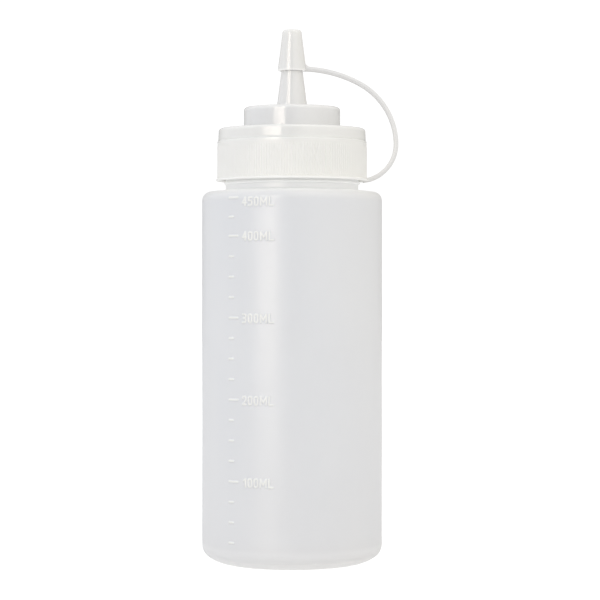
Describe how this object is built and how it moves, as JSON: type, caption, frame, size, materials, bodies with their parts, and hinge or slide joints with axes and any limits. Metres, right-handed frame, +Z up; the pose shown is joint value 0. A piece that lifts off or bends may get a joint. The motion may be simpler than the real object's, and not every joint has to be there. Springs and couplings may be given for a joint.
{
  "type": "squeeze bottle",
  "caption": "Round translucent sauce squeeze bottle with a screw-on nozzle lid, a tethered tip cap and a raised volume scale.",
  "frame": {"origin": "centre of the standing ring, on the plane the bottle stands on", "axes": "+Z up the bottle towards the tip; -Y is the front, +X the side where the strap bows out"},
  "size_m": [0.0738, 0.0676, 0.2],
  "materials": {
    "bottle_plastic": "translucent milky soft plastic, satin",
    "lid_plastic": "translucent milky soft plastic, satin, moulded",
    "seal_rubber": "soft translucent rubber, matte"
  },
  "bodies": {
    "bottle": {"bottle": "bottle_plastic"},
    "seal": {"seal_ring": "seal_rubber"},
    "lid": {"lid": "lid_plastic", "tether_strap": "lid_plastic"},
    "tip_cap": {"tip_cap": "lid_plastic"}
  },
  "joints": [
    {"name": "lid_lift", "type": "slide", "parent": "bottle", "child": "seal", "axis": [0, 0, 1], "range_m": [0, 0.00636]},
    {"name": "lid_turn", "type": "hinge", "parent": "seal", "child": "lid", "pos_m": [0, 0, 0.1431], "axis": [0, 0, 1], "range_deg": [0, 540]},
    {"name": "tip_cap_pull", "type": "hinge", "parent": "lid", "child": "tip_cap", "pos_m": [0.056, 0, 0.1905], "axis": [0, 1, 0], "range_deg": [0, 22], "deforming": ["tether_strap"]}
  ],
  "couplings": [
    {"joint": "lid_lift", "follows": "lid_turn", "m_per_rad": 0.00067376}
  ]
}
